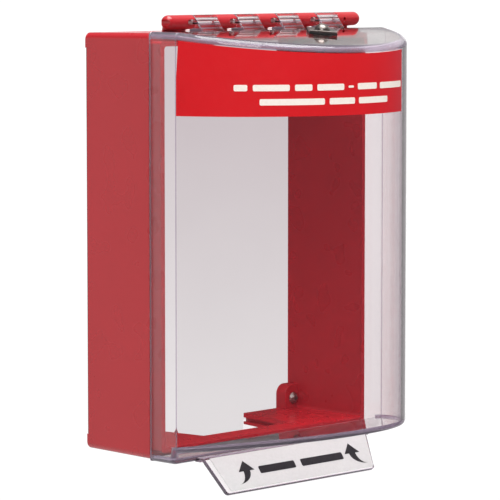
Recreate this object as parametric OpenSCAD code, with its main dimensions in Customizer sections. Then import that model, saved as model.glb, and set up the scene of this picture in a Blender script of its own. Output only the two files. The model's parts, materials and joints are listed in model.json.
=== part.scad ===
// Clear lift cover on a deep surface frame, of the kind that guards a manual call point.
// X is across, -Y points at the person, +Z is up, all in millimetres.
// The origin is the middle of the wall face, so the frame lies at negative Y.

/* [Frame] */
// Outer width of the frame at its front shoulder
frame_w = 175; // [160:1:200]
// Outer height of the frame at its front shoulder
frame_h = 241; // [210:1:270]
// Depth from the wall to the front shoulder
frame_d = 53; // [45:1:75]
// Outward slope of the outer faces towards the front, as a ratio
flare = 0.036; // [0.02:0.002:0.04]
// Thickness of the side walls at the wall end
side_t = 3.3; // [2.6:0.1:4]
// Thickness of the double floor and roof at the shoulder
floor_t = 8.1; // [7.5:0.1:9]
// Radius of the four long outer edges
edge_r = 4; // [2:0.5:6]

/* [Lip] */
// Depth of the lip that the cover closes over
lip_d = 8; // [6:0.5:10]
// Step in from the frame's side to the lip
lip_side = 3.1; // [3:0.1:3.6]
// Step in from the frame's top or bottom to the lip
lip_end = 5.3; // [5:0.1:5.6]

/* [Cable opening] */
// Width of the opening in the floor at the wall
entry_back_w = 86; // [60:1:100]
// Width of the opening at its front edge
entry_front_w = 72; // [50:1:86]
// Depth of the opening from the wall
entry_d = 45; // [30:1:46]

/* [Wall fixing] */
// Distance from the middle to each screw across
screw_x = 78; // [76:0.5:78]
// Distance from the middle to each screw up or down
screw_z = 106; // [104:0.5:107]
// Diameter of a wall screw
screw_d = 3.5; // [3:0.1:4]
// Length of screw that stands out behind the wall face
screw_out = 6; // [4:0.5:8]

/* [Hinge] */
// Diameter of the knuckles
knuckle_d = 8; // [7:0.5:8.5]
// Distance from the shoulder forward to the hinge axis
axis_ahead = 4.1; // [3.5:0.1:5]
// Height of the hinge axis above the frame's top
axis_up = 5; // [4.7:0.1:6]
// Length of each knuckle on the cover
clear_len = 17.2; // [14:0.2:19]
// Distance between neighbouring cover knuckles
knuckle_pitch = 33.2; // [32:0.2:34]
// Diameter of the hinge pin
pin_d = 2.6; // [2:0.1:3]

/* [Cover] */
// Wall thickness of the clear moulding
clear_t = 2.5; // [2:0.1:2.5]
// Wall thickness of the bowed front
bow_t = 3.2; // [2.5:0.1:3.5]
// Depth of the straight skirt ahead of the shoulder
skirt_d = 20; // [18:0.5:24]
// Forward bulge of the bowed front
bow_s = 63.5; // [50:0.5:70]
// Inward slope of the bow's top and bottom, as a ratio
bow_slope = 0.122; // [0.08:0.001:0.14]
// Step up from the skirt's bottom to the bow's bottom
bow_step = 6.6; // [5:0.1:8]
// Width of the rounded edge that the header label stays clear of
bow_r = 4; // [3:0.5:5]

/* [Lift tab] */
// Length of the tab down its slope
tab_len = 23.8; // [15:0.1:30]
// Width of the tab at its foot
tab_w = 124; // [90:0.2:130]
// Lean of the tab away from vertical, in degrees
tab_lean = 34; // [20:0.5:45]
// Thickness of the tab
tab_t = 2.4; // [2:0.1:3]

/* [Hidden] */
eps = 0.01;
fine = 96;
// Frame
half_w = frame_w / 2;
half_h = frame_h / 2;
back_half_w = half_w - flare * frame_d;
back_half_h = half_h - flare * frame_d;
inner_half_w = back_half_w - side_t;
inner_half_h = half_h - floor_t;
lip_half_w = half_w - lip_side;
lip_half_h = half_h - lip_end;
rim_half_w = lip_half_w - side_t;
corner_r = 2;
front_y = -frame_d - lip_d;
// Slot round the cable opening, for a plate that closes it
slot_h = 2.4;
slot_deep = 5;
floor_skin = 2.7;
// Lugs that the wall screws pass through
lug_w = 11.2;
lug_h = 14.7;
lug_d = 8;
lug_r = 6;
neck_slack = 0.1;
end_chamfer = 0.6;
// Foam seal let into the wall face
seal_t = 1.2;
seal_gap = 8;
// Hinge
axis_y = -frame_d - axis_ahead;
axis_z = half_h + axis_up;
knuckle_r = knuckle_d / 2;
knuckle_gap = 0.35;
hinge_half = 79.8;
clear_count = 4;
clear_first = -49.2;
pin_r = pin_d / 2;
pin_play = 0.07;
pin_start = -75;
pin_end = 72;
leg_back = 7.5;
leg_toe = 10;
slot_len = 4.6;
pin_slot_h = 3;
// Cover
fit_gap = 0.3;
skirt_y = -frame_d - fit_gap;
corner_y = -frame_d - skirt_d;
bow_radius = (half_w * half_w + bow_s * bow_s) / (2 * bow_s);
bow_axis_y = corner_y - bow_s + bow_radius;
bow_bottom = -half_h + bow_step;
// Tab
ledge_d = 3.2;
ledge_z = -half_h + 0.1;
ledge_margin = 0.3;
tab_inset = 0.15;
tab_top_w = 134;
tab_fillet = 3;
tab_corner_r = 2.5;
// Labels
label_t = 0.2;
label_lift = 0.03;
header_z = 74.5;
header_left = 70.3;
header_right = 26;
header_slant = 1.2;
// Clamp screw on the cover's roof
clamp_x = 14;
clamp_ahead = 17;
clamp_turn = 50;
clamp_d = 5;
clamp_play = 0.3;
washer_side = 16;
washer_t = 1.1;
pad_t = 1.2;
ring_t = 1;
spring_t = 1.2;
nut_t = 4;
slope_angle = atan(bow_slope);

// Sets a cylinder's axis along Y, with its far end at the given Y
module rod_y(x, y_back, z, r, len, facets = fine)
    translate([x, y_back, z]) rotate([90, 0, 0]) cylinder(r = r, h = len, $fn = facets);

// Sets a cylinder's axis along X
module rod_x(x0, x1, y, z, r)
    translate([x0, y, z]) rotate([0, 90, 0]) cylinder(r = r, h = x1 - x0, $fn = fine);

// A straight bar with four rounded long edges along Y
module rounded_bar(hw, hh, y_back, len, r) {
    translate([-hw + r, y_back - len, -hh]) cube([2 * (hw - r), len, 2 * hh]);
    translate([-hw, y_back - len, -hh + r]) cube([2 * hw, len, 2 * (hh - r)]);
    for (sx = [-1, 1], sz = [-1, 1]) rod_y(sx * (hw - r), y_back, sz * (hh - r), r, len);
}

// A bar with rounded long edges that changes size from its back to its front
module tapered_bar(hw0, hh0, y0, hw1, hh1, y1, r)
    hull()
        for (sx = [-1, 1], sz = [-1, 1]) {
            rod_y(sx * (hw0 - r), y0, sz * (hh0 - r), r, eps, 48);
            rod_y(sx * (hw1 - r), y1 + eps, sz * (hh1 - r), r, eps, 48);
        }

// The opening's outline seen from above, grown by a margin on three sides
module entry_outline(margin)
    polygon([[-entry_back_w / 2 - margin, 1], [-entry_front_w / 2 - margin, -entry_d - margin],
             [entry_front_w / 2 + margin, -entry_d - margin], [entry_back_w / 2 + margin, 1]]);

// A lug in the lower right corner, with its free corner rounded
module lug() {
    reach = 1;
    x0 = inner_half_w - lug_w;
    z1 = -inner_half_h + lug_h;
    translate([x0, -lug_d, -inner_half_h - reach]) cube([lug_w + reach, lug_d, lug_h + reach - lug_r]);
    translate([x0 + lug_r, -lug_d, -inner_half_h - reach])
        cube([lug_w + reach - lug_r, lug_d, lug_h + reach]);
    rod_y(x0 + lug_r, 0, z1 - lug_r, lug_r, lug_d);
}

// Repeats a lower right piece in all four corners
module four_corners()
    for (mx = [0, 1], mz = [0, 1]) mirror([mx, 0, 0]) mirror([0, 0, mz]) children();

// Left ends and right ends of the frame's five knuckles
function red_left(i) = i == 0 ? -hinge_half
    : clear_first + (i - 1) * knuckle_pitch + clear_len / 2 + knuckle_gap;
function red_right(i) = i == clear_count ? hinge_half
    : clear_first + i * knuckle_pitch - clear_len / 2 - knuckle_gap;

// One knuckle of the frame with the leg that carries it
module red_knuckle(i) {
    x0 = red_left(i) + (i == 0 ? knuckle_r : 0);
    x1 = red_right(i) - (i == clear_count ? knuckle_r : 0);
    rod_x(x0, x1, axis_y, axis_z, knuckle_r);
    if (i == 0) translate([x0, axis_y, axis_z]) sphere(r = knuckle_r, $fn = fine);
    if (i == clear_count) translate([x1, axis_y, axis_z]) sphere(r = knuckle_r, $fn = fine);
    leg0 = i == 0 ? x0 - 2 : x0;
    leg1 = i == clear_count ? x1 - 2 : x1;
    root_z = half_h - 1.2;
    shoulder = -frame_d + eps;
    translate([leg0, 0, 0]) rotate([90, 0, 90]) linear_extrude(leg1 - leg0)
        polygon([[axis_y, axis_z], [axis_y + 0.6, axis_z - knuckle_r + 0.1],
                 [shoulder, half_h + 0.6], [shoulder, root_z], [shoulder + leg_back, root_z],
                 [axis_y + 3.4, axis_z + 2]]);
}

// Slots that open the knuckles' ends towards the front
module knuckle_slots() {
    for (i = [0 : clear_count - 1])
        translate([red_right(i) - slot_len, axis_y - knuckle_r - 1, axis_z - pin_slot_h / 2]) {
            cube([slot_len + 1, knuckle_r + 1, pin_slot_h]);
            translate([0, knuckle_r + 1, pin_slot_h / 2]) rotate([90, 0, 0])
                cylinder(d = pin_slot_h, h = knuckle_r + 1, $fn = fine);
        }
    rod_y(-hinge_half + 0.4, axis_y + 10, axis_z, 1.7, 20);
    rod_y(red_left(clear_count) + 5.4, axis_y, axis_z, 1.1, knuckle_r + 1);
}

module seal_strips(grow) {
    side_h = back_half_h - seal_gap;
    top_w = back_half_w - seal_gap;
    for (sx = [-1, 1])
        translate([sx < 0 ? -back_half_w - grow : inner_half_w + 0.1 - grow, -seal_t, -side_h])
            cube([side_t - 0.1 + 2 * grow, seal_t + grow, 2 * side_h]);
    translate([-top_w, -seal_t, back_half_h - side_t])
        cube([2 * top_w, seal_t + grow, side_t + grow]);
}

module frame() color("firebrick") {
    slot_z = -inner_half_h - floor_skin - slot_h;
    difference() {
        union() {
            difference() {
                union() {
                    tapered_bar(back_half_w, back_half_h, 0, half_w, half_h, -frame_d, edge_r);
                    rounded_bar(lip_half_w, lip_half_h, -frame_d + 1, lip_d + 1, corner_r);
                }
                tapered_bar(inner_half_w, inner_half_h, 1, rim_half_w, inner_half_h, front_y - 1, corner_r);
            }
            four_corners() lug();
            for (i = [0 : clear_count]) red_knuckle(i);
        }
        translate([0, 0, -half_h - 1]) linear_extrude(floor_t + 2) entry_outline(0);
        translate([0, 0, slot_z]) linear_extrude(slot_h) entry_outline(slot_deep);
        four_corners() rod_y(screw_x, 1, -screw_z, screw_d / 2, lug_d + 2);
        seal_strips(0.2);
        knuckle_slots();
        rod_x(pin_start, pin_end, axis_y, axis_z, pin_r);
    }
}

module wall_gasket() color("dimgray") seal_strips(-0.02);

module hinge_pin() color("silver") rod_x(pin_start, pin_end, axis_y, axis_z, pin_r);

// A pan-head screw, head up, with the underside of its head at the origin and a slimmer neck under it
module pan_screw(d, len, head_r, head_h, neck = 0) {
    translate([0, 0, -len + end_chamfer]) cylinder(d = d, h = len - end_chamfer - neck, $fn = fine);
    if (neck > 0) translate([0, 0, -neck]) cylinder(d = d - neck_slack, h = neck, $fn = fine);
    translate([0, 0, -len]) cylinder(d1 = d - 2 * end_chamfer, d2 = d, h = end_chamfer, $fn = fine);
    dome_r = (head_r * head_r + head_h * head_h) / (2 * head_h);
    intersection() {
        cylinder(r = head_r, h = head_h, $fn = fine);
        translate([0, 0, head_h - dome_r]) sphere(r = dome_r, $fn = fine);
    }
}

module wall_screw(sx, sz) color("silver") {
    head_r = 3.6;
    head_h = 2.5;
    recess = 0.9;
    translate([sx * screw_x, -lug_d, sz * screw_z]) rotate([90, 0, 0])
        difference() {
            pan_screw(screw_d, lug_d + screw_out, head_r, head_h, lug_d);
            for (a = [0, 90]) rotate(a) translate([-1.9, -recess / 2, head_h - 1.5]) cube([3.8, recess, 2]);
        }
}

// Height of the bow's flat roof and floor at a distance ahead of the corner
function bow_top_at(ahead) = half_h - bow_slope * ahead;
function bow_bottom_at(ahead) = bow_bottom + bow_slope * ahead;

// The cover's form, a straight skirt and then a bow, smaller by inset and by front_inset at the bow's front
module cover_form(inset, front_inset, y_back) {
    front_ahead = bow_s + 1;
    front = corner_y - front_ahead;
    past = 5;
    intersection() {
        rounded_bar(half_w - inset, half_h - inset, y_back, y_back - front, edge_r - inset + 0.2);
        translate([0, 0, -frame_h]) union() {
            translate([0, bow_axis_y, 0])
                cylinder(r = bow_radius - front_inset, h = 2 * frame_h, $fn = 360);
            translate([-frame_w, corner_y + front_inset + 1, 0]) cube([2 * frame_w, 60, 2 * frame_h]);
        }
        rotate([90, 0, 90]) linear_extrude(frame_w + 20, center = true)
            polygon([[y_back + past, half_h + past], [corner_y, half_h + past],
                     [corner_y, half_h - inset], [front - past, bow_top_at(front_ahead + past) - inset],
                     [front - past, bow_bottom_at(front_ahead + past) + inset],
                     [corner_y + inset, bow_bottom + inset], [corner_y + inset, -half_h - past],
                     [y_back + past, -half_h - past]]);
    }
}

// One knuckle of the cover with the leg that slopes forward to its roof
module clear_knuckle(i) {
    x0 = clear_first + i * knuckle_pitch - clear_len / 2;
    rod_x(x0, x0 + clear_len, axis_y, axis_z, knuckle_r);
    translate([x0, 0, 0]) rotate([90, 0, 90]) linear_extrude(clear_len)
        polygon([[axis_y, axis_z], [axis_y - 2.8, axis_z + 2.8],
                 [axis_y - leg_toe, half_h - 1.5], [axis_y + 1.6, half_h - 1.5],
                 [axis_y + 1.6, axis_z - knuckle_r + 0.4]]);
}

// Half outline of the tab down its slope: fillet, tapered side, rounded corner
function tab_side() = let (foot = tab_w / 2, head = tab_top_w / 2) concat(
    [for (a = [90 : -15 : 0])
        [head + tab_fillet * (1 - cos(a)), -tab_fillet * (1 - sin(a))]],
    [for (a = [0 : -15 : -90])
        [foot - tab_corner_r * (1 - cos(a)), -tab_len + tab_corner_r * (1 + sin(a))]]);

// Places a child on the tab's front face: x across, -z down the slope, +y into the tab
module on_tab()
    translate([0, corner_y - ledge_d + tab_inset, ledge_z + tab_t - tab_inset]) rotate([-tab_lean, 0, 0])
        children();

module tab() {
    side = tab_side();
    top_half = tab_top_w / 2 + tab_fillet + ledge_margin;
    on_tab() rotate([90, 0, 0]) translate([0, 0, -tab_t]) linear_extrude(tab_t)
        polygon(concat([for (p = side) p], [for (i = [len(side) - 1 : -1 : 0]) [-side[i][0], side[i][1]]]));
    translate([-top_half, corner_y - ledge_d, ledge_z]) cube([2 * top_half, ledge_d + 1, tab_t]);
}

// Places a child on the bow's roof at the clamp screw, square to the roof
module on_roof()
    translate([clamp_x, corner_y - clamp_ahead, bow_top_at(clamp_ahead)]) rotate([slope_angle, 0, 0])
        children();

module cover() color("white", 0.4)
    difference() {
        union() {
            cover_form(0, 0, skirt_y);
            tab();
            for (i = [0 : clear_count - 1]) clear_knuckle(i);
        }
        cover_form(clear_t, bow_t, skirt_y + 1);
        rod_x(clear_first - clear_len, -clear_first + clear_len, axis_y, axis_z, pin_r + pin_play);
        on_roof() cylinder(d = clamp_d + clamp_play, h = 20, center = true, $fn = fine);
    }

// Half-plane that the header label stays on, cut at an angle from the front and slanted by header_slant
module header_side(angle, side)
    translate([0, bow_axis_y, 0]) rotate([0, 0, side * angle])
        rotate([90, 0, 0]) linear_extrude(2 * bow_radius)
            polygon([[0, header_z], [-side * header_slant, half_h], [-side * frame_w, half_h],
                     [-side * frame_w, header_z]]);

module header_label() color("red") {
    r = bow_radius + label_lift;
    top_gap = bow_r + 0.3;
    intersection() {
        translate([0, bow_axis_y, -half_h]) difference() {
            cylinder(r = r + label_t, h = frame_h, $fn = 360);
            translate([0, 0, -1]) cylinder(r = r, h = frame_h + 2, $fn = 360);
        }
        rotate([90, 0, 90]) linear_extrude(frame_w + 20, center = true)
            polygon([[corner_y + 2, header_z], [corner_y - bow_s - 2, header_z],
                     [corner_y - bow_s - 2, bow_top_at(bow_s + 2) - top_gap],
                     [corner_y + 2, bow_top_at(-2) - top_gap]]);
        header_side(header_left, -1);
        header_side(header_right, 1);
    }
}

module tab_label() color("gainsboro") {
    top = 1.2;
    foot = tab_len - 1.4;
    head_half = tab_top_w / 2 - 1.8;
    foot_half = tab_w / 2 - 2;
    on_tab() translate([0, -label_lift, 0]) rotate([90, 0, 0]) linear_extrude(label_t)
        polygon([[-head_half, -top], [head_half, -top], [foot_half, -foot], [-foot_half, -foot]]);
}

module sealing_pad() color("black") on_roof() difference() {
    rotate(clamp_turn) translate([-washer_side / 2, -washer_side / 2, 0])
        cube([washer_side, washer_side, pad_t]);
    translate([0, 0, -1]) cylinder(d = clamp_d + clamp_play, h = pad_t + 2, $fn = fine);
}

module square_washer() color("silver") on_roof() translate([0, 0, pad_t]) difference() {
    rotate(clamp_turn) translate([-washer_side / 2, -washer_side / 2, 0])
        cube([washer_side, washer_side, washer_t]);
    translate([0, 0, -1]) cylinder(d = clamp_d + clamp_play, h = washer_t + 2, $fn = fine);
}

module top_screw() color("silver") {
    head_r = 4.7;
    head_h = 3.4;
    slot_w = 1.3;
    on_roof() translate([0, 0, pad_t + washer_t]) difference() {
        pan_screw(clamp_d, 17, head_r, head_h);
        rotate(clamp_turn - 4) translate([-slot_w / 2, -head_r - 1, head_h - 1.6])
            cube([slot_w, 2 * head_r + 2, 3]);
    }
}

// A flat ring under the roof, from the given drop downwards
module roof_ring(drop, thick, d)
    on_roof() translate([0, 0, -clear_t - drop - thick]) difference() {
        cylinder(d = d, h = thick, $fn = fine);
        translate([0, 0, -1]) cylinder(d = clamp_d + clamp_play, h = thick + 2, $fn = fine);
    }

module inner_washer() color("silver") roof_ring(0.05, ring_t, 12);

module lock_washer() color("gray") difference() {
    roof_ring(0.05 + ring_t, spring_t, 9.2);
    on_roof() translate([0, -0.3, -20]) cube([8, 0.6, 20]);
}

module hex_nut() color("silver")
    on_roof() translate([0, 0, -clear_t - 0.05 - ring_t - spring_t - nut_t]) difference() {
        cylinder(d = 8 / cos(30), h = nut_t, $fn = 6);
        translate([0, 0, -1]) cylinder(d = clamp_d, h = nut_t + 2, $fn = fine);
    }

frame();
wall_gasket();
hinge_pin();
wall_screw(-1, 1);  // wall_screw_top_left
wall_screw(1, 1);  // wall_screw_top_right
wall_screw(-1, -1);  // wall_screw_bottom_left
wall_screw(1, -1);  // wall_screw_bottom_right
cover();
header_label();
tab_label();
top_screw();
square_washer();
sealing_pad();
inner_washer();
lock_washer();
hex_nut();
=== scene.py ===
"""A clear lift cover on a deep red surface frame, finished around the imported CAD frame."""

import json
import math

import bmesh
import bpy
from mathutils import Matrix, Vector


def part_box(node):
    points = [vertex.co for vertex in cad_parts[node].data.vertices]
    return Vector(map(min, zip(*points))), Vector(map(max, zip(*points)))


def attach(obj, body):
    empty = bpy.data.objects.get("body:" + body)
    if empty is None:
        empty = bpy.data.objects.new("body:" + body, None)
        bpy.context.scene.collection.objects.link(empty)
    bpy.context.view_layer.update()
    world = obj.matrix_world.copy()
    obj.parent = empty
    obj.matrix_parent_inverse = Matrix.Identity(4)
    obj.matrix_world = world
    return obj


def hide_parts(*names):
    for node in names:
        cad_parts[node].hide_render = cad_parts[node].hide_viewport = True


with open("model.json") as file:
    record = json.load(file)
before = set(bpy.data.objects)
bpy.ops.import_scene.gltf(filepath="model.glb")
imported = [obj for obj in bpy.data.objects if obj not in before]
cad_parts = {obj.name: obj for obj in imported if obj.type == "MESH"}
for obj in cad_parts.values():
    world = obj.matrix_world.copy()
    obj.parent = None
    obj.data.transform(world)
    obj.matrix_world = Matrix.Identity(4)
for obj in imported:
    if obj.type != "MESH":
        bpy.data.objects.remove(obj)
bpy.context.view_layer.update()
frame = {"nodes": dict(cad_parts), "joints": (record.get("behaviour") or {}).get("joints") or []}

MM = 0.001
PAST = 1 * MM  # how far solids overlap where they unite, and how far cuts run past a face

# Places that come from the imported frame
AXIS_AHEAD = 4.1 * MM
SKIRT_GAP = 0.3 * MM
SKIRT_D = 20 * MM
frame_low, frame_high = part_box("frame")
cover_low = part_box("cover")[0]
hinge = Vector(frame["joints"][0]["pos_m"])
half_w = frame_high.x
half_h = -frame_low.z
shoulder_y = hinge.y + AXIS_AHEAD
skirt_back = shoulder_y - SKIRT_GAP
corner_y = shoulder_y - SKIRT_D
bow_depth = corner_y - cover_low.y

# Walls and slopes of the clear moulding
EDGE_REFLECTION_SLOT = 1  # material slot of its rounded edges, painted lilac-grey as a painted reflection of what the glass mirrors and bends there
WALL = 2.5 * MM
FRONT_WALL = 3.2 * MM
SLOPE = 0.122
BOW_STEP = 6.6 * MM
BLEND_R = 6 * MM
BLEND_STEPS = 5
ARC_STEPS = 56
MAX_ROUND = 5 * MM
ROUND_STEPS = 6
OUTER_ROUNDS = {"skirt": 4.2 * MM, "roof": 3.8 * MM, "floor": 3.4 * MM, "tray": 3.4 * MM, "notch": 0.8 * MM}
INNER_ROUNDS = {"skirt": 1.7 * MM, "roof": 1.5 * MM, "floor": 1.2 * MM, "tray": 1.2 * MM, "notch": 0.8 * MM}
RIM_ROUND = 0.6 * MM
ROOF_HOLE_R = 2.65 * MM
ROOF_DRILL = 8 * MM

# Walls of the red moulding
FLARE = 0.036
SIDE_WALL = 3.3 * MM
FLOOR_WALL = 8.1 * MM
LIP_SIDE = 3.1 * MM
LIP_END = 5.3 * MM
EDGE_R = 4 * MM
INSIDE_R = 2 * MM
BACK_ROUND = 0.8 * MM
SHOULDER_ROUND = 1.0 * MM
STEP_ROUND = 0.4 * MM
LIP_ROUND = 0.8 * MM
REAR_ROUND = 0.6 * MM
back_half_w = half_w + FLARE * shoulder_y
back_half_h = half_h + FLARE * shoulder_y
inner_half_w = back_half_w - SIDE_WALL
inner_half_h = half_h - FLOOR_WALL
lip_half_w = half_w - LIP_SIDE
lip_half_h = half_h - LIP_END
LUG_W = 11.2 * MM
LUG_H = 14.7 * MM
LUG_D = 8 * MM
LUG_R = 6 * MM
LUG_EDGE = 0.5 * MM
SCREW_CORNERS = ("top_left", "top_right", "bottom_left", "bottom_right")
SCREW_HOLE_R = 1.75 * MM
ENTRY_BACK = 43 * MM
ENTRY_FRONT = 36 * MM
ENTRY_D = 45 * MM
PLATE_SLOT = 2 * MM
PLATE_SLOT_Z = -inner_half_h - 5.1 * MM
PLATE_SLOT_H = 2.4 * MM
SEAL_T = 1.2 * MM
SEAL_GAP = 8 * MM
SEAL_IN = 0.1 * MM

# Hinge: the frame has five knuckles, and the cover's four run between them
HINGE_HALF = 79.8 * MM
KNUCKLE_R = 4 * MM
KNUCKLE_GAP = 0.35 * MM
KNUCKLE_SINK = 1.2 * MM
PIN_BORE = 1.37 * MM
CLEAR_LEN = 17.2 * MM
CLEAR_PITCH = 33.2 * MM
CLEAR_FIRST = -49.2 * MM
CLEAR_COUNT = 4
CLEAR_BARREL = (math.radians(135), math.radians(-66))
CLEAR_BARREL_STEPS = 28
CLEAR_TOE = 10 * MM
CLEAR_HEEL = 1.6 * MM
CLEAR_EDGE = 0.4 * MM
LEG_BACK = 1.7 * MM
LEG_TOE_UP = 0.6 * MM
RED_BARREL_END = math.radians(278.7)
RED_BARREL_STEPS = 40
RED_EDGE = 0.35 * MM
SLOT_LEN = 4.6 * MM
SLOT_HALF = 1.5 * MM
END_NOTCH_IN = 0.4 * MM
END_NOTCH_R = 1.7 * MM
END_NOTCH_REACH = 10 * MM
DOT_IN = 5.4 * MM
DOT_R = 1.1 * MM
DOT_REACH = 5 * MM

# Lift tab
TAB_LEN = 23.8 * MM
TAB_FOOT = 62 * MM
TAB_HEAD = 67 * MM
TAB_FILLET = 3 * MM
TAB_CORNER = 2.5 * MM
TAB_T = 2.4 * MM
TAB_LEAN = math.radians(34)
TAB_EDGE = 0.5 * MM
TAB_IN = 0.15 * MM
TAB_UP = 2.35 * MM
LEDGE = 3.2 * MM
LEDGE_T = 2.4 * MM
LEDGE_UP = 0.1 * MM
LEDGE_MARGIN = 0.3 * MM
LEDGE_EDGE = 0.4 * MM
tab_origin = Vector((0, corner_y - LEDGE + TAB_IN, -half_h + TAB_UP))

# The two labels and what is printed on them. HEADER_LEFT and HEADER_RIGHT are degrees round the bow,
# and the words, bars and arrows are in mm.
HEADER_LOW = 74.5 * MM
HEADER_GAP = 4.2 * MM
HEADER_LEFT = (-71.2, -69.6)
HEADER_RIGHT = 25.8
LABEL_T = 0.2 * MM
LABEL_LIFT = 0.03 * MM
PRINT_T = 0.05 * MM
WORD_GAP = 3 * MM
BAR_H = 3.5 * MM
BAR_R = 0.8 * MM
DASH_H = 1.2 * MM
LONGEST_DASH = 5 * MM
HEADER_LINES = (
    {"start": -80.8 * MM, "z": 90.3 * MM, "words": (7.5, 20.5, 10.2, 17.4, 3.9, 15.9, 26.9)},
    {"start": -66.6 * MM, "z": 82.5 * MM, "words": (37.7, 17.4, 26.1)},
)
TAB_LABEL_TOP = 1.0 * MM
TAB_LABEL_FOOT = 1.3 * MM
TAB_LABEL_IN = 0.9 * MM
TAB_LABEL_LEFT = 2.6 * MM
TAB_LABEL_R = 1.8 * MM
TAB_LABEL_TURN = (1.6 * MM, 4 * MM)
TAB_BARS = ((-30, -0.6), (4.5, 39.7))
TAB_BAR_TOP = 10.4 * MM
TAB_BAR_FOOT = 15 * MM
TAB_BAR_R = 0.9 * MM
TAB_ARROWS = ((-39.9, 5.6, 1), (48.2, 5.8, -1))


def ring_radius(side, depth, blend):
    """Radius of the arc that runs into both blends and reaches depth ahead of them."""
    return ((side - blend) ** 2 + depth**2 - blend**2) / (2 * (depth - blend))


def front_point(angle, side, depth, blend, lift=0.0):
    """A point on the bow's outline, where its normal is turned by angle from straight ahead."""
    radius = ring_radius(side, depth, blend)
    axis_y = corner_y - depth + radius
    limit = math.atan2(side - blend, axis_y - corner_y)
    if abs(angle) <= limit:
        return Vector(((radius + lift) * math.sin(angle), axis_y - (radius + lift) * math.cos(angle)))
    edge = math.copysign(side - blend, angle)
    return Vector((edge + (blend + lift) * math.sin(angle), corner_y - (blend + lift) * math.cos(angle)))


def bow_outline(side, depth, blend):
    """Points round the bow from its left corner to its right corner, seen from above."""
    radius = ring_radius(side, depth, blend)
    limit = math.atan2(side - blend, radius - depth)
    quarter = math.pi / 2
    left = [-quarter + (quarter - limit) * i / BLEND_STEPS for i in range(BLEND_STEPS)]
    middle = [-limit + 2 * limit * i / ARC_STEPS for i in range(ARC_STEPS + 1)]
    angles = left + middle + [-a for a in reversed(left)]
    return [front_point(a, side, depth, blend) for a in angles]


def roof_z(y, inset=0.0):
    return half_h - inset - SLOPE * (corner_y - y)


def floor_z(y, inset=0.0):
    return -half_h + inset + BOW_STEP + SLOPE * (corner_y - y)


def add_form(bm, weight, inset, front_inset, rounds):
    """Adds the skirt and bow as one open shell, and returns the four corners of its open back."""
    def rounded(a, b, name):
        bm.edges.get((a, b))[weight] = rounds[name] / MAX_ROUND

    side, top, low = half_w - inset, half_h - inset, -half_h + inset
    riser_y = corner_y + inset
    outline = bow_outline(side, bow_depth - front_inset, BLEND_R - inset)
    roof = [bm.verts.new((p.x, p.y, roof_z(p.y, inset))) for p in outline]
    floor = [bm.verts.new((p.x, p.y, floor_z(p.y, inset))) for p in outline]
    corners = []
    for sign, end in ((-1, 0), (1, -1)):
        back_top = bm.verts.new((sign * side, skirt_back, top))
        back_low = bm.verts.new((sign * side, skirt_back, low))
        riser_low = bm.verts.new((sign * side, riser_y, low))
        riser_top = bm.verts.new((sign * side, riser_y, floor_z(riser_y, inset))) if inset else floor[end]
        between = [floor[end]] if inset else []
        bm.faces.new([back_top, back_low, riser_low, riser_top, *between, roof[end]])
        rounded(back_top, roof[end], "skirt")
        rounded(back_low, riser_low, "skirt")
        rounded(riser_low, riser_top, "tray")
        corners.append((back_top, back_low, riser_low, riser_top))
    (left_top, left_low, left_riser, left_notch), (right_top, right_low, right_riser, right_notch) = corners
    bm.faces.new([left_top, right_top, roof[-1], roof[0]])
    bm.faces.new(roof)
    bm.faces.new([left_low, right_low, right_riser, left_riser])
    bm.faces.new([left_riser, right_riser, right_notch, left_notch])
    bm.faces.new([left_notch, *floor, right_notch] if inset else floor)
    for i in range(len(outline) - 1):
        wall = bm.faces.new([roof[i], roof[i + 1], floor[i + 1], floor[i]])
        from_end = min(i, len(outline) - 2 - i)
        # The outer faces round the bow's corners take the edges' painted reflection too
        if not inset and BLEND_STEPS - 2 <= from_end < BLEND_STEPS:
            wall.material_index = EDGE_REFLECTION_SLOT
        rounded(roof[i], roof[i + 1], "roof")
        rounded(floor[i], floor[i + 1], "floor")
    if inset:
        rounded(left_notch, floor[0], "floor")
        rounded(right_notch, floor[-1], "floor")
    rounded(left_riser, right_riser, "tray")
    rounded(left_notch, right_notch, "notch")
    return [left_top, right_top, right_low, left_low]


def linked(name, data):
    """Makes an object of a mesh, lamp or camera and adds it to the scene."""
    made = bpy.data.objects.new(name, data)
    bpy.context.scene.collection.objects.link(made)
    return made


def as_mesh(name, bm):
    mesh = bpy.data.meshes.new(name)
    bm.to_mesh(mesh)
    bm.free()
    return mesh


def as_object(name, bm):
    """Makes an object of a finished bmesh, with all its faces turned outward."""
    bmesh.ops.recalc_face_normals(bm, faces=bm.faces)
    return linked(name, as_mesh(name, bm))


def bevel(thing, width, segments=3, method="ANGLE", angle=30, look=-1):
    """Rounds edges. look is the material slot of the new faces, and -1 gives them their neighbours'."""
    cut = thing.modifiers.new("bevel", "BEVEL")
    cut.material = look
    cut.width = width
    cut.segments = segments
    cut.limit_method = method
    cut.angle_limit = math.radians(angle)
    cut.use_clamp_overlap = False
    cut.miter_outer = "MITER_SHARP"
    return thing


def applied(thing):
    """Turns an object's modifiers into its mesh."""
    graph = bpy.context.evaluated_depsgraph_get()
    mesh = bpy.data.meshes.new_from_object(thing.evaluated_get(graph))
    thing.modifiers.clear()
    thing.data = mesh
    return thing


def combined(thing, other, operation="UNION"):
    """Unites another closed mesh with this one, or cuts it away, and removes the other."""
    step = thing.modifiers.new("join", "BOOLEAN")
    step.operation = operation
    step.solver = "EXACT"
    step.object = other
    applied(thing)
    bpy.data.objects.remove(other)
    return thing


def without(thing, other):
    return combined(thing, other, "DIFFERENCE")


def smooth(thing, angle=38):
    """Shades a mesh smooth and keeps the edges above an angle sharp."""
    thing.data.shade_smooth()
    thing.data.set_sharp_from_angle(angle=math.radians(angle))
    normals = thing.modifiers.new("normals", "WEIGHTED_NORMAL")
    normals.keep_sharp = True
    return thing


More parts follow.
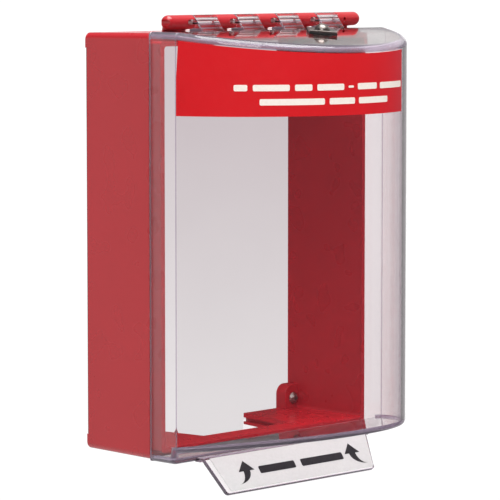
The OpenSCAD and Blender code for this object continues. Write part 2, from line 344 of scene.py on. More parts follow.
def prism(bm, points, along):
    """A closed solid between an outline and the same outline moved by a vector."""
    near = [bm.verts.new(p) for p in points]
    far = [bm.verts.new(Vector(p) + along) for p in points]
    bm.faces.new(near)
    bm.faces.new(list(reversed(far)))
    for i in range(len(points)):
        j = (i + 1) % len(points)
        bm.faces.new([near[i], far[i], far[j], near[j]])


def drilled(thing, start, end, radius, sides=48):
    """Cuts a round hole between two points."""
    bm = bmesh.new()
    way = Vector(end) - Vector(start)
    turn = way.to_track_quat("Z", "Y").to_matrix()
    rim = []
    for i in range(sides):
        a = 2 * math.pi * i / sides
        rim.append(Vector(start) + turn @ Vector((radius * math.cos(a), radius * math.sin(a), 0)))
    prism(bm, rim, way)
    return without(thing, as_object("drill", bm))


def drill_along_hinge(thing, left, right):
    return drilled(thing, (left, hinge.y, hinge.z), (right, hinge.y, hinge.z), PIN_BORE)


def ring(bm, half_x, half_z, corner, y, steps=8):
    """A closed loop of points round a rounded rectangle that faces the wall."""
    points = []
    for quarter, (sx, sz) in enumerate(((1, 1), (-1, 1), (-1, -1), (1, -1))):
        for i in range(steps + 1):
            a = math.pi / 2 * (quarter + i / steps)
            x = sx * (half_x - corner) + corner * math.cos(a)
            z = sz * (half_z - corner) + corner * math.sin(a)
            points.append(bm.verts.new((x, y, z)))
    return points


def softened(section, steps=4):
    """Rounds each corner of a closed section.

    A row holds half the width, half the height, the corner radius, the place along Y and the rounding."""
    rows = []
    for i, (*corner, size) in enumerate(section):
        here = Vector(corner)
        before = Vector(section[i - 1][:4]) - here
        after = Vector(section[(i + 1) % len(section)][:4]) - here
        start = here + before.normalized() * size
        end = here + after.normalized() * size
        for k in range(steps + 1):
            t = k / steps
            rows.append(start * (1 - t) ** 2 + here * 2 * t * (1 - t) + end * t**2)
    return rows


def frame_walls():
    """The flared walls with their shoulder and lip, as one closed tube."""
    section = (
        (back_half_w, back_half_h, EDGE_R, 0, BACK_ROUND),
        (half_w, half_h, EDGE_R, shoulder_y, SHOULDER_ROUND),
        (lip_half_w, lip_half_h, INSIDE_R, shoulder_y, STEP_ROUND),
        (lip_half_w, lip_half_h, INSIDE_R, frame_low.y, LIP_ROUND),
        (lip_half_w - SIDE_WALL, inner_half_h, INSIDE_R, frame_low.y, LIP_ROUND),
        (inner_half_w, inner_half_h, INSIDE_R, 0, REAR_ROUND),
    )
    bm = bmesh.new()
    rings = [ring(bm, *row) for row in softened(section)]
    for i, loop in enumerate(rings):
        following = rings[(i + 1) % len(rings)]
        for k in range(len(loop)):
            j = (k + 1) % len(loop)
            bm.faces.new([loop[k], loop[j], following[j], following[k]])
    return as_object("red_frame", bm)


def lugs():
    """The four lugs that the wall screws pass through."""
    bm = bmesh.new()
    near, far = inner_half_w - LUG_W, inner_half_w + PAST
    top, foot = LUG_H - inner_half_h, -inner_half_h - PAST
    steps = 8
    for sx in (-1, 1):
        for sz in (-1, 1):
            outline = [(near, foot), (far, foot), (far, top)]
            for i in range(steps + 1):
                a = math.pi / 2 * (1 + i / steps)
                outline.append((near + LUG_R + LUG_R * math.cos(a), top - LUG_R + LUG_R * math.sin(a)))
            prism(bm, [(sx * x, 0, sz * z) for x, z in outline], Vector((0, -LUG_D, 0)))
    return applied(bevel(as_object("lugs", bm), LUG_EDGE, angle=50))


def red_span(i):
    """Left and right end of one of the frame's five knuckles."""
    half_gap = CLEAR_LEN / 2 + KNUCKLE_GAP
    left = -HINGE_HALF if i == 0 else CLEAR_FIRST + (i - 1) * CLEAR_PITCH + half_gap
    right = HINGE_HALF if i == CLEAR_COUNT else CLEAR_FIRST + i * CLEAR_PITCH - half_gap
    return left, right


def barrel_arc(x, first, last, steps):
    """Points round the hinge axis, from one angle to another."""
    points = []
    for k in range(steps + 1):
        a = first + (last - first) * k / steps
        points.append((x, hinge.y + KNUCKLE_R * math.cos(a), hinge.z + KNUCKLE_R * math.sin(a)))
    return points


def red_knuckles():
    """Barrels with their legs, as solids that lie apart from each other."""
    bm = bmesh.new()
    deep = half_h - KNUCKLE_SINK
    foot = Vector((shoulder_y + LEG_BACK - hinge.y, deep - hinge.z))
    first = math.atan2(foot.y, foot.x) + math.acos(KNUCKLE_R / foot.length)
    for i in range(CLEAR_COUNT + 1):
        left, right = red_span(i)
        left += KNUCKLE_R if i == 0 else 0
        right -= KNUCKLE_R if i == CLEAR_COUNT else 0
        outline = barrel_arc(left, first, RED_BARREL_END, RED_BARREL_STEPS)
        outline.append((left, shoulder_y, half_h + LEG_TOE_UP))
        outline.append((left, shoulder_y, deep))
        outline.append((left, shoulder_y + LEG_BACK, deep))
        prism(bm, outline, Vector((right - left, 0, 0)))
    return applied(bevel(as_object("knuckles", bm), RED_EDGE, angle=50))


def red_ends():
    """The two round ends of the hinge barrel."""
    bm = bmesh.new()
    for sign in (-1, 1):
        place = Matrix.Translation((sign * (HINGE_HALF - KNUCKLE_R), hinge.y, hinge.z))
        bmesh.ops.create_uvsphere(bm, u_segments=48, v_segments=24, radius=KNUCKLE_R, matrix=place)
    return as_object("ends", bm)


def entry_cut(margin, foot, height):
    """The shape of the cable opening in the floor, or with a margin the slot round it."""
    bm = bmesh.new()
    front = -ENTRY_D - margin
    outline = [(-ENTRY_BACK - margin, PAST), (-ENTRY_FRONT - margin, front),
               (ENTRY_FRONT + margin, front), (ENTRY_BACK + margin, PAST)]
    prism(bm, [(x, y, foot) for x, y in outline], Vector((0, 0, height)))
    return as_object("entry", bm)


def block(bm, low, high):
    """A box between its lowest and its highest corner."""
    (x0, y0, z0), (x1, y1, z1) = low, high
    prism(bm, [(x0, y0, z0), (x1, y0, z0), (x1, y1, z0), (x0, y1, z0)], Vector((0, 0, z1 - z0)))


def seal_grooves():
    """Room in the back rim for the foam strips."""
    bm = bmesh.new()
    side_h, top_w = back_half_h - SEAL_GAP, back_half_w - SEAL_GAP
    for sign in (-1, 1):
        inner, outer = sign * (inner_half_w - SEAL_IN), sign * (back_half_w + PAST)
        block(bm, (min(inner, outer), -SEAL_T, -side_h), (max(inner, outer), PAST, side_h))
    block(bm, (-top_w, -SEAL_T, back_half_h - SIDE_WALL), (top_w, PAST, back_half_h + PAST))
    return as_object("grooves", bm)


def knuckle_slots():
    """Slots that open the knuckles' ends towards the front."""
    bm = bmesh.new()
    deep, steps = KNUCKLE_R + PAST, 12
    for i in range(CLEAR_COUNT):
        end = red_span(i)[1]
        start = end - SLOT_LEN
        outline = [(end + PAST, -SLOT_HALF), (end + PAST, SLOT_HALF)]
        for k in range(steps + 1):
            a = math.pi * (0.5 + k / steps)
            outline.append((start + SLOT_HALF * math.cos(a), SLOT_HALF * math.sin(a)))
        prism(bm, [(x, hinge.y - deep, hinge.z + z) for x, z in outline], Vector((0, deep, 0)))
    return as_object("slots", bm)


def drill_hinge(thing, x, behind, ahead, radius):
    """Drills across the hinge's axis, from behind it to ahead of it."""
    return drilled(thing, (x, hinge.y + behind, hinge.z), (x, hinge.y - ahead, hinge.z), radius)


def red_frame(looks):
    body = frame_walls()
    combined(body, lugs())
    combined(body, red_knuckles())
    combined(body, red_ends())
    without(body, entry_cut(0, -half_h - PAST, FLOOR_WALL + 2 * PAST))
    without(body, entry_cut(PLATE_SLOT, PLATE_SLOT_Z, PLATE_SLOT_H))
    without(body, seal_grooves())
    without(body, knuckle_slots())
    pin_low, pin_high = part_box("hinge_pin")
    drill_along_hinge(body, pin_low.x, pin_high.x)
    for corner in SCREW_CORNERS:
        low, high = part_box("wall_screw_" + corner)
        x, z = (low.x + high.x) / 2, (low.z + high.z) / 2
        drilled(body, (x, PAST, z), (x, -LUG_D - PAST, z), SCREW_HOLE_R, sides=32)
    drill_hinge(body, -HINGE_HALF + END_NOTCH_IN, END_NOTCH_REACH, END_NOTCH_REACH, END_NOTCH_R)
    drill_hinge(body, red_span(CLEAR_COUNT)[0] + DOT_IN, 0, DOT_REACH, DOT_R)
    smooth(body, angle=34)
    dress(body, looks["red"], "frame_body")
    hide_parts("frame")


def two_looks(thing, looks):
    """Gives a clear solid its wall look, and in its second slot the painted reflection of its rounded
    edges.
    """
    thing.data.materials.append(looks["clear"])
    thing.data.materials.append(looks["clear_edge_painted_reflection"])
    return thing


def cover_shell(looks):
    bm = bmesh.new()
    weight = bm.edges.layers.float.new("bevel_weight_edge")
    outer = add_form(bm, weight, 0.0, 0.0, OUTER_ROUNDS)
    inner = add_form(bm, weight, WALL, FRONT_WALL, INNER_ROUNDS)
    for i in range(4):
        j = (i + 1) % 4
        bm.faces.new([outer[i], outer[j], inner[j], inner[i]])
        bm.edges.get((outer[i], outer[j]))[weight] = RIM_ROUND / MAX_ROUND
        bm.edges.get((inner[i], inner[j]))[weight] = RIM_ROUND / MAX_ROUND
    shell = two_looks(as_object("clear_cover", bm), looks)
    return applied(bevel(shell, MAX_ROUND, ROUND_STEPS, method="WEIGHT", look=EDGE_REFLECTION_SLOT))


def clear_knuckles(looks):
    """The four barrels of the cover, each with the leg that slopes forward to the roof."""
    bm = bmesh.new()
    deep = half_h - KNUCKLE_SINK
    for i in range(CLEAR_COUNT):
        x = CLEAR_FIRST + i * CLEAR_PITCH - CLEAR_LEN / 2
        outline = [(x, hinge.y - CLEAR_TOE, deep)]
        outline += barrel_arc(x, *CLEAR_BARREL, CLEAR_BARREL_STEPS)
        outline.append((x, hinge.y + CLEAR_HEEL, deep))
        prism(bm, outline, Vector((CLEAR_LEN, 0, 0)))
    knuckles = two_looks(as_object("clear_knuckles", bm), looks)
    return applied(bevel(knuckles, CLEAR_EDGE, angle=50, look=EDGE_REFLECTION_SLOT))


def on_tab(x, down, lift=0.0):
    """A point on the tab's front face: across, down its slope, and out from it."""
    slope = Matrix.Rotation(-TAB_LEAN, 3, "X")
    return tab_origin + slope @ Vector((x, -lift, -down))


def tab_outline(steps=6):
    """Half of the tab's outline: the fillet at its head, its tapered side and its rounded corner."""
    quarter = math.pi / 2
    points = []
    for i in range(steps + 1):
        a = quarter * (1 - i / steps)
        points.append((TAB_HEAD + TAB_FILLET * (1 - math.cos(a)), TAB_FILLET * (1 - math.sin(a))))
    for i in range(steps + 1):
        a = -quarter * i / steps
        points.append((TAB_FOOT - TAB_CORNER * (1 - math.cos(a)), TAB_LEN - TAB_CORNER * (1 + math.sin(a))))
    return points


def lift_tab(looks):
    side = tab_outline()
    outline = [on_tab(x, down) for x, down in side] + [on_tab(-x, down) for x, down in reversed(side)]
    bm = bmesh.new()
    prism(bm, outline, on_tab(0, 0, -TAB_T) - on_tab(0, 0))
    # Faces round the tab's rim take the edges' painted reflection
    for face in bm.faces:
        on_its_edge = len(face.verts) == 4
        if on_its_edge:
            face.material_index = EDGE_REFLECTION_SLOT
    tab = applied(bevel(two_looks(as_object("tab", bm), looks), TAB_EDGE, angle=60, look=EDGE_REFLECTION_SLOT))
    bm = bmesh.new()
    reach = TAB_HEAD + TAB_FILLET + LEDGE_MARGIN
    low = -half_h + LEDGE_UP
    block(bm, (-reach, corner_y - LEDGE, low), (reach, corner_y + PAST, low + LEDGE_T))
    ledge = applied(bevel(two_looks(as_object("ledge", bm), looks), LEDGE_EDGE, look=EDGE_REFLECTION_SLOT))
    return combined(tab, ledge)


def clear_cover(looks):
    cover = cover_shell(looks)
    combined(cover, clear_knuckles(looks))
    combined(cover, lift_tab(looks))
    reach = -CLEAR_FIRST + CLEAR_LEN
    drill_along_hinge(cover, -reach, reach)
    pad_low, pad_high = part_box("sealing_pad")
    middle = (pad_low + pad_high) / 2
    up = Vector((0, -SLOPE, 1)).normalized() * ROOF_DRILL
    drilled(cover, middle - up, middle + up, ROOF_HOLE_R)
    smooth(cover)
    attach(cover, "cover_body")
    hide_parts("cover")


def dress(thing, look, body):
    """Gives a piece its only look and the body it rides."""
    thing.data.materials.clear()
    thing.data.materials.append(look)
    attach(thing, body)


def wall_strip(bm, columns, lift, thick):
    """A thin closed skin on the bow.

    A column holds the angles in radians of its foot and its head, then the heights of both."""
    outer_side = (half_w, bow_depth, BLEND_R)
    rows = 4
    sheets = []
    for height in (lift, lift + thick):
        grid = []
        for angle_low, angle_high, low, high in columns:
            line = []
            for r in range(rows + 1):
                share = r / rows
                p = front_point(angle_low + (angle_high - angle_low) * share, *outer_side, lift=height)
                line.append(bm.verts.new((p.x, p.y, low + (high - low) * share)))
            grid.append(line)
        sheets.append(grid)
    back, front = sheets
    last = len(columns) - 1
    for i in range(last):
        for r in range(rows):
            for grid in sheets:
                bm.faces.new([grid[i][r], grid[i + 1][r], grid[i + 1][r + 1], grid[i][r + 1]])
        for r in (0, rows):
            bm.faces.new([back[i][r], back[i + 1][r], front[i + 1][r], front[i][r]])
    for i in (0, last):
        for r in range(rows):
            bm.faces.new([back[i][r], back[i][r + 1], front[i][r + 1], front[i][r]])


def header_label(looks):
    """The red label, whose head follows the sloping roof."""
    bm = bmesh.new()
    columns = []
    steps = 80
    low_left, top_left = (math.radians(a) for a in HEADER_LEFT)
    right = math.radians(HEADER_RIGHT)
    for i in range(steps + 1):
        share = i / steps
        low_angle = low_left + (right - low_left) * share
        top_angle = top_left + (right - top_left) * share
        y = front_point(top_angle, half_w, bow_depth, BLEND_R).y
        columns.append((low_angle, top_angle, HEADER_LOW, roof_z(y) - HEADER_GAP))
    wall_strip(bm, columns, LABEL_LIFT, LABEL_T)
    label = as_object("header_vinyl", bm)
    smooth(label)
    dress(label, looks["red_vinyl"], "cover_body")
    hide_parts("header_label")


def header_print(looks):
    """Plain bars in place of the words."""
    radius = ring_radius(half_w, bow_depth, BLEND_R)
    bm = bmesh.new()
    steps = 24
    for line in HEADER_LINES:
        at = line["start"]
        for length in line["words"]:
            length = length * MM
            height = BAR_H if length > LONGEST_DASH else DASH_H
            round_r = min(BAR_R, height / 2)
            columns = []
            for i in range(steps + 1):
                t = length * (1 - math.cos(math.pi * i / steps)) / 2
                end = min(t, length - t)
                trim = round_r - math.sqrt(max(0.0, round_r**2 - max(0.0, round_r - end) ** 2))
                angle = (at + t) / radius
                half = height / 2 - trim
                columns.append((angle, angle, line["z"] - half, line["z"] + half))
            wall_strip(bm, columns, LABEL_LIFT + LABEL_T, PRINT_T)
            at += length + WORD_GAP
    bars = as_object("header_print", bm)
    dress(bars, looks["white_ink"], "cover_body")


def tab_plate(bm, points, lift, thick):
    """A thin flat solid on the tab, from its outline in tab coordinates."""
    prism(bm, [on_tab(x, down, lift) for x, down in points], on_tab(0, 0, thick) - on_tab(0, 0))


def rounded_bar(left, right, top, foot, corner, steps=4):
    """Outline of a bar with rounded corners, in tab coordinates."""
    points = []
    centres = ((right - corner, top + corner, -90), (right - corner, foot - corner, 0),
               (left + corner, foot - corner, 90), (left + corner, top + corner, 180))
    for x, down, start in centres:
        for i in range(steps + 1):
            a = math.radians(start + 90 * i / steps)
            points.append((x + corner * math.cos(a), down + corner * math.sin(a)))
    return points


def curved_arrow(tip_x, tip, lean):
    """Outline of an arrow that points up the tab, with a tail that sweeps away to one side."""
    head, half_head, half_neck, drop, reach = 6.4 * MM, 6.4 * MM, 2.6 * MM, 7.4 * MM, 9.5 * MM
    neck = tip + head
    steps = 12
    outer, inner = [], []
    for i in range(steps + 1):
        a = math.pi / 2 * i / steps
        for side, edge in ((outer, half_neck), (inner, -half_neck)):
            side.append((tip_x + lean * ((reach + edge) * math.cos(a) - reach), neck + drop * math.sin(a)))
    return ([(tip_x, tip), (tip_x + lean * half_head, neck)] + outer
            + list(reversed(inner[:-1])) + [(tip_x - lean * half_head, neck)])


def tab_label(looks):
    """The grey label. It starts further in on the left, where the band of the tab is wider."""
    bm = bmesh.new()
    foot = TAB_LEN - TAB_LABEL_FOOT
    turn_in, turn_down = TAB_LABEL_TURN
    side = [(TAB_HEAD - TAB_LABEL_IN, TAB_LABEL_TOP), (TAB_HEAD - turn_in, turn_down)]
    steps = 5
    for i in range(steps + 1):
        a = math.pi / 2 * i / steps
        x = TAB_FOOT - TAB_LABEL_IN - TAB_LABEL_R * (1 - math.cos(a))
        side.append((x, foot - TAB_LABEL_R * (1 - math.sin(a))))
    left_side = [(TAB_LABEL_LEFT - x, down) for x, down in reversed(side)]
    tab_plate(bm, side + left_side, LABEL_LIFT, LABEL_T)
    label = as_object("tab_vinyl", bm)
    smooth(label)
    dress(label, looks["grey_vinyl"], "cover_body")
    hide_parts("tab_label")


def tab_print(looks):
    """Two plain bars in place of the words, between two arrows."""
    bm = bmesh.new()
    lift = LABEL_LIFT + LABEL_T
    for left, right in TAB_BARS:
        bar = rounded_bar(left * MM, right * MM, TAB_BAR_TOP, TAB_BAR_FOOT, TAB_BAR_R)
        tab_plate(bm, bar, lift, PRINT_T)
    for tip_x, tip, lean in TAB_ARROWS:
        tab_plate(bm, curved_arrow(tip_x * MM, tip * MM, lean), lift, PRINT_T)
    marks = as_object("tab_print", bm)
    dress(marks, looks["black_ink"], "cover_body")


# Where noise mostly lies, which its ramps spread from end to end
NOISE_LOW = 0.3
NOISE_HIGH = 0.7


class Look:
    """A Principled material with short ways to drive it by noise in the object's own space."""

    def __init__(self, name, **values):
        self.material = bpy.data.materials.new(name)
        self.material.use_nodes = True
        self.tree = self.material.node_tree
        self.shader = self.tree.nodes["Principled BSDF"]
        self.place = self.node("ShaderNodeTexCoord").outputs["Object"]
        for key, value in values.items():
            self.shader.inputs[key.replace("_", " ")].default_value = value

    def node(self, kind):
        return self.tree.nodes.new(kind)

    def link(self, output, socket):
        self.tree.links.new(output, socket)

    def noise(self, scale, detail=2.0, stretch=(1, 1, 1)):
        mapping = self.node("ShaderNodeMapping")
        mapping.inputs["Scale"].default_value = stretch
        self.link(self.place, mapping.inputs["Vector"])
        texture = self.node("ShaderNodeTexNoise")
        texture.inputs["Scale"].default_value = scale
        texture.inputs["Detail"].default_value = detail
        self.link(mapping.outputs["Vector"], texture.inputs["Vector"])
        return texture.outputs["Fac"]

    def ramp(self, factor, low, high, start=NOISE_LOW, end=NOISE_HIGH):
        ramp = self.node("ShaderNodeValToRGB")
        ramp.color_ramp.elements[0].position = start
        ramp.color_ramp.elements[1].position = end
        ramp.color_ramp.elements[0].color = (*low, 1)
        ramp.color_ramp.elements[1].color = (*high, 1)
        self.link(factor, ramp.inputs["Fac"])
        return ramp.outputs["Color"]

    def colour(self, low, high, scale, detail=3.0):
        self.link(self.ramp(self.noise(scale, detail), low, high), self.shader.inputs["Base Color"])
        return self

    def rough(self, low, high, scale, detail=4.0, stretch=(1, 1, 1)):
        spread = self.node("ShaderNodeMapRange")
        spread.inputs["From Min"].default_value = NOISE_LOW
        spread.inputs["From Max"].default_value = NOISE_HIGH
        spread.inputs["To Min"].default_value = low
        spread.inputs["To Max"].default_value = high
        self.link(self.noise(scale, detail, stretch), spread.inputs["Value"])
        self.link(spread.outputs["Result"], self.shader.inputs["Roughness"])
        return self

    def bump(self, scale, distance, strength=1.0, detail=2.0, stretch=(1, 1, 1)):
        bump = self.node("ShaderNodeBump")
        bump.inputs["Distance"].default_value = distance
        bump.inputs["Strength"].default_value = strength
        self.link(self.noise(scale, detail, stretch), bump.inputs["Height"])
        previous = self.shader.inputs["Normal"]
        if previous.is_linked:
            self.link(previous.links[0].from_socket, bump.inputs["Normal"])
        self.link(bump.outputs["Normal"], previous)
        return self

    def lets_lamps_through(self):
        """Lets shadow rays pass, so that lamps light what is behind the clear plastic."""
        path = self.node("ShaderNodeLightPath")
        clear = self.node("ShaderNodeBsdfTransparent")
        clear.inputs["Color"].default_value = (*LAMP_TINT, 1)
        mix = self.node("ShaderNodeMixShader")
        self.link(path.outputs["Is Shadow Ray"], mix.inputs["Fac"])
        self.link(self.shader.outputs["BSDF"], mix.inputs[1])
        self.link(clear.outputs["BSDF"], mix.inputs[2])
        self.link(mix.outputs["Shader"], self.tree.nodes["Material Output"].inputs["Surface"])
        return self


# What clear plastic lets through of a lamp's light, and the grain that both inks share
LAMP_TINT = (0.99, 0.95, 0.96)
PRINT_GRAIN = {"scale": 1800, "distance": 0.000006, "strength": 0.3}


def make_looks():
    """Every material. Colours, roughness and bumps run between two values by noise of the given scale."""
    looks = {
        "red": Look("red_plastic", Specular_IOR_Level=0.5, Coat_Weight=0.15, Coat_Roughness=0.12)
        .colour((0.385, 0.008, 0.013), (0.405, 0.009, 0.015), 30)
        .rough(0.26, 0.31, 60, 1.0)
        .bump(25, 0.00002, 0.15, 0.0),
        "clear": Look("clear_plastic", Transmission_Weight=1.0, IOR=1.5)
        .colour((0.92, 0.88, 0.89), (0.935, 0.895, 0.905), 30)
        .rough(0.0, 0.012, 120)
        .bump(18, 0.00005, 0.2, 1.0)
        .lets_lamps_through(),
        # Painted reflection: part-diffuse lilac-grey on the rounded edges stands in for what the glass
        # mirrors and bends there
        "clear_edge_painted_reflection": Look("clear_edge_painted_reflection", Transmission_Weight=0.78, IOR=1.5)
        .colour((0.40, 0.335, 0.42), (0.45, 0.38, 0.47), 30)
        .rough(0.04, 0.08, 120)
        .bump(18, 0.00005, 0.2, 1.0)
        .lets_lamps_through(),
        "red_vinyl": Look("red_vinyl", Specular_IOR_Level=0.5, Coat_Weight=0.4, Coat_Roughness=0.08)
        .colour((0.56, 0.004, 0.007), (0.59, 0.005, 0.009), 30)
        .rough(0.20, 0.26, 300)
        .bump(500, 0.000003, 0.3),
        "grey_vinyl": Look("grey_vinyl", Specular_IOR_Level=0.4)
        .colour((0.41, 0.44, 0.43), (0.44, 0.47, 0.46), 800)
        .rough(0.32, 0.45, 400)
        .bump(1500, 0.00001, 0.3),
        "white_ink": Look("white_ink", Specular_IOR_Level=0.3)
        .colour((0.76, 0.68, 0.61), (0.81, 0.73, 0.66), 900)
        .rough(0.35, 0.5, 500)
        .bump(**PRINT_GRAIN),
        "black_ink": Look("black_ink", Specular_IOR_Level=0.3)
        .colour((0.006, 0.006, 0.008), (0.012, 0.012, 0.015), 900)
        .rough(0.35, 0.5, 500)
        .bump(**PRINT_GRAIN),
        "steel": Look("steel", Metallic=1.0)
        .colour((0.36, 0.32, 0.29), (0.52, 0.47, 0.43), 700)
        .rough(0.22, 0.42, 900)
        .bump(1600, 0.00001, 0.4),
        "dark_steel": Look("dark_steel", Metallic=1.0)
        .colour((0.13, 0.115, 0.105), (0.22, 0.195, 0.18), 700)
        .rough(0.24, 0.40, 900)
        .bump(1600, 0.00001, 0.4),
        "pin_steel": Look("pin_steel", Metallic=1.0)
        .colour((0.74, 0.73, 0.72), (0.86, 0.85, 0.84), 500)
        .rough(0.36, 0.5, 400, stretch=(0.1, 1, 1))
        .bump(1500, 0.000008, 0.4, stretch=(0.1, 1, 1)),
        "foam": Look("foam", Specular_IOR_Level=0.15)
        .colour((0.075, 0.050, 0.043), (0.13, 0.088, 0.075), 1500)
        .rough(0.85, 0.97, 900)
        .bump(2200, 0.0003, 0.7, 4.0),
        "rubber": Look("black_rubber", Specular_IOR_Level=0.35)
        .colour((0.010, 0.010, 0.011), (0.022, 0.021, 0.021), 600)
        .rough(0.55, 0.75, 700)
        .bump(1400, 0.00004, 0.5),
    }
    return {name: look.material for name, look in looks.items()}


# Look, slot and width of the softened edges in mm, for each node that is carried over
CAD_LOOKS = {
    "wall_gasket": ("foam", "foam", 0.3),
    "hinge_pin": ("pin_steel", "steel", 0.2),
    **{"wall_screw_" + corner: ("steel", "steel", 0.15) for corner in SCREW_CORNERS},
    "top_screw": ("dark_steel", "steel", 0.2),
    "square_washer": ("dark_steel", "steel", 0.25),
    "sealing_pad": ("rubber", "black_rubber", 0.25),
    "inner_washer": ("steel", "steel", 0.15),
    "lock_washer": ("steel", "steel", 0.15),
    "hex_nut": ("steel", "steel", 0.3),
}
WELD_REACH = 0.01 * MM


def finish_cad_nodes(looks):
    """Gives each carried-over node its material, and softens its edges without touching its mesh."""
    for name, (look, slot, width) in CAD_LOOKS.items():
        node = frame["nodes"][name]
        for place in node.material_slots:
            place.link = "OBJECT"
            place.material = looks[look]
        if not node.material_slots:
            node.data.materials.append(looks[look])
        weld = node.modifiers.new("weld", "WELD")
        weld.merge_threshold = WELD_REACH
        bevel(node, width * MM, angle=40)
        normals = node.modifiers.new("normals", "WEIGHTED_NORMAL")
        normals.keep_sharp = True


# Camera, fitted to the photo
CAMERA_AT = Vector((-1.2554, -1.2763, 0.1627))
CAMERA_TURN = math.radians(45.59)
CAMERA_DIP = math.radians(5.533)
LENS = 219.07
SENSOR = 36

# Stage
FLOOR_HALF = 6.0
FLOOR_Z = -0.8
BACKDROP_AWAY = 3.2
BACKDROP_Z = -0.05
BACKDROP_SIZE = (1.9, 1.5)
BACKDROP_GLOW = ((1.05, 1.05, 1.05), (1.1, 1.1, 1.1))
CARD_Y = 0.6 * MM
CARD_MARGIN = 8 * MM
CARD_FOOT = (0.86, 0.86, 0.86)
# Painted shade: the wall card darkens from its foot to this colour at its head, as the wall is shaded under
# the roof inside the frame
CARD_HEAD_SHADE = (0.65, 0.59, 0.61)
CARD_MIRRORED = 0.05


def make_camera():
    data = bpy.data.cameras.new("camera")
    data.lens = LENS
    data.sensor_width = SENSOR
    data.clip_start = 0.05
    data.clip_end = 30
    camera = linked("camera", data)
    camera.location = CAMERA_AT
    camera.rotation_euler = (math.pi / 2 - CAMERA_DIP, 0, -CAMERA_TURN)
    bpy.context.scene.camera = camera


def sheet(name, half_x, half_y, z=0.0):
    """A flat rectangle that faces up."""
    bm = bmesh.new()
    for x, y in ((-1, -1), (1, -1), (1, 1), (-1, 1)):
        bm.verts.new((x * half_x, y * half_y, z))
    bm.faces.new(bm.verts)
    return linked(name, as_mesh(name, bm))


def card(name, centre, facing, size, colours, mirrored=1.0):
    """A stage card that glows on its front and is clear from behind. Colours run from its foot to its head.

    mirrored is how strongly it shows in glossy plastic."""
    made = sheet(name, size[0] / 2, size[1] / 2)
    made.location = centre
    made.rotation_mode = "QUATERNION"
    made.rotation_quaternion = Vector(facing).normalized().to_track_quat("Z", "Y")
    look = Look(name)
    split = look.node("ShaderNodeSeparateXYZ")
    look.link(look.node("ShaderNodeTexCoord").outputs["Generated"], split.inputs["Vector"])
    glow = look.node("ShaderNodeEmission")
    look.link(look.ramp(split.outputs["Y"], *colours, start=0.05, end=0.95), glow.inputs["Color"])
    path = look.node("ShaderNodeLightPath")
    only_glossy = look.node("ShaderNodeMath")
    only_glossy.operation = "SUBTRACT"
    only_glossy.use_clamp = True
    look.link(path.outputs["Is Glossy Ray"], only_glossy.inputs[0])
    look.link(path.outputs["Is Transmission Ray"], only_glossy.inputs[1])
    power = look.node("ShaderNodeMapRange")
    power.inputs["To Min"].default_value = 1.0
    power.inputs["To Max"].default_value = mirrored
    look.link(only_glossy.outputs["Value"], power.inputs["Value"])
    look.link(power.outputs["Result"], glow.inputs["Strength"])
    clear = look.node("ShaderNodeBsdfTransparent")
    mix = look.node("ShaderNodeMixShader")
    look.link(look.node("ShaderNodeNewGeometry").outputs["Backfacing"], mix.inputs["Fac"])
    look.link(glow.outputs["Emission"], mix.inputs[1])
    look.link(clear.outputs["BSDF"], mix.inputs[2])
    look.link(mix.outputs["Shader"], look.tree.nodes["Material Output"].inputs["Surface"])
    made.data.materials.append(look.material)


def softbox(name, at, aim, size, power):
    """A square lamp that clear plastic doesn't show."""
    data = bpy.data.lights.new(name, "AREA")
    data.size = size
    data.energy = power
    lamp = linked(name, data)
    lamp.location = at
    lamp.rotation_mode = "QUATERNION"
    lamp.rotation_quaternion = (Vector(aim) - Vector(at)).to_track_quat("-Z", "Y")
    lamp.visible_transmission = False


def make_floor():
    floor = sheet("floor", FLOOR_HALF, FLOOR_HALF, FLOOR_Z)
    look = Look("floor").colour((0.74, 0.74, 0.75), (0.78, 0.78, 0.79), 3).rough(0.6, 0.8, 20)
    floor.data.materials.append(look.material)
    floor.visible_glossy = False
    floor.visible_transmission = False


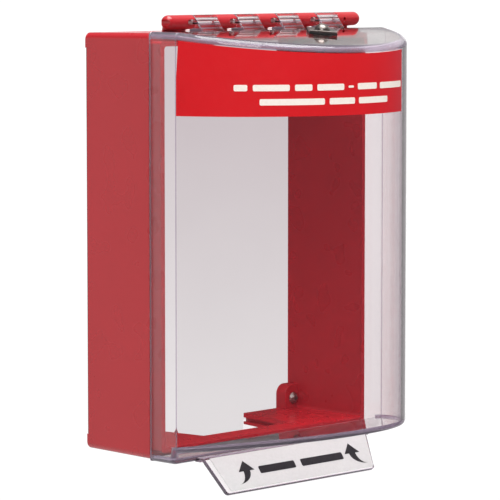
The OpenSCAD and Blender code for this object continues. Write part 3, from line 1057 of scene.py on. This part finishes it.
def make_world():
    """A pale surround where it's seen straight on or through clear plastic.

    In mirrored light it's a dark room, so that the plastic shows little veil."""
    world = bpy.data.worlds.new("studio")
    bpy.context.scene.world = world
    world.use_nodes = True
    tree = world.node_tree
    link = tree.links.new

    def ramp(factor, *stops):
        """Runs between two stops, each a place and a grey or a colour."""
        made = tree.nodes.new("ShaderNodeValToRGB")
        for element, (at, colour) in zip(made.color_ramp.elements, stops):
            element.position = at
            element.color = (*colour, 1) if isinstance(colour, tuple) else (colour, colour, colour, 1)
        link(factor, made.inputs["Fac"])
        return made.outputs["Color"]

    def along(axis):
        """How far a direction points along an axis, from 0 to 1."""
        spread = tree.nodes.new("ShaderNodeMapRange")
        spread.inputs["From Min"].default_value = -1
        link(split.outputs[axis], spread.inputs["Value"])
        return spread.outputs["Result"]

    def mixed(kind, first, second):
        mix = tree.nodes.new("ShaderNodeMixRGB")
        mix.blend_type = kind
        mix.inputs["Fac"].default_value = 1.0
        link(first, mix.inputs["Color1"])
        link(second, mix.inputs["Color2"])
        return mix

    def product(first, second):
        return mixed("MULTIPLY", first, second).outputs["Color"]

    def lighter(first, second):
        return mixed("LIGHTEN", first, second).outputs["Color"]

    def chosen(factor, off, on):
        mix = mixed("MIX", off, on)
        link(factor, mix.inputs["Fac"])
        return mix.outputs["Color"]

    split = tree.nodes.new("ShaderNodeSeparateXYZ")
    link(tree.nodes.new("ShaderNodeTexCoord").outputs["Generated"], split.inputs["Vector"])
    right, back, up = along("X"), along("Y"), along("Z")
    pale = ramp(up, (0.45, 0.44), (0.95, 0.85))
    straight = ramp(up, (0.2, (0.62, 0.60, 0.62)), (0.5, (0.93, 0.91, 0.93)))
    # The dark room has a pale back wall that fades to the right, a glow overhead and a lit spot that
    # only the right half of the roof mirrors
    shade = (0.16, 0.125, 0.16)
    wall = product(ramp(back, (0.55, 0.0), (0.72, (0.85, 0.83, 0.85))), ramp(up, (0.60, 1.0), (0.74, 0.0)))
    wall = product(wall, ramp(right, (0.60, 1.0), (0.80, 0.45)))
    overhead = ramp(up, (0.80, shade), (0.97, 0.8))
    spot = product(ramp(right, (0.845, 0.0), (0.872, 0.95)), ramp(up, (0.57, 0.0), (0.61, 1.0)))
    mirrored = lighter(lighter(wall, overhead), spot)
    path = tree.nodes.new("ShaderNodeLightPath")
    bounced = tree.nodes.new("ShaderNodeMath")
    bounced.operation = "ADD"
    bounced.use_clamp = True
    link(path.outputs["Glossy Depth"], bounced.inputs[0])
    link(path.outputs["Diffuse Depth"], bounced.inputs[1])
    through = chosen(bounced.outputs["Value"], straight, mirrored)
    seen = chosen(path.outputs["Is Glossy Ray"], pale, mirrored)
    seen = chosen(path.outputs["Is Transmission Ray"], seen, through)
    link(seen, tree.nodes["Background"].inputs["Color"])


def make_stage():
    make_world()
    make_floor()
    ahead = Vector((math.sin(CAMERA_TURN), math.cos(CAMERA_TURN), 0))
    backdrop = ahead * BACKDROP_AWAY + Vector((0, 0, BACKDROP_Z))
    card("backdrop", backdrop, -ahead, BACKDROP_SIZE, BACKDROP_GLOW)
    # Two glowing cards stand in for the lit white wall, behind the frame and behind its cable opening. The
    # one behind the frame carries painted shade, darker towards its head as under the roof
    wall_size = (2 * half_w - CARD_MARGIN, 2 * half_h - CARD_MARGIN)
    card("wall_card", (0, CARD_Y, 0), (0, -1, 0), wall_size, (CARD_FOOT, CARD_HEAD_SHADE), CARD_MIRRORED)
    low_size = (2 * ENTRY_BACK, CARD_MARGIN)
    card("low_card", (0, CARD_Y, -half_h), (0, -1, 0), low_size, (CARD_FOOT, CARD_FOOT), CARD_MIRRORED)
    softbox("key", (-1.6, -1.5, 1.5), (0, 0, 0), 1.2, 27)
    softbox("top", (0.15, -0.3, 1.8), (0, -0.05, 0), 1.4, 52)


bpy.context.scene.view_settings.view_transform = "Standard"
make_camera()
all_looks = make_looks()
finish_cad_nodes(all_looks)
red_frame(all_looks)
clear_cover(all_looks)
header_label(all_looks)
header_print(all_looks)
tab_label(all_looks)
tab_print(all_looks)
make_stage()
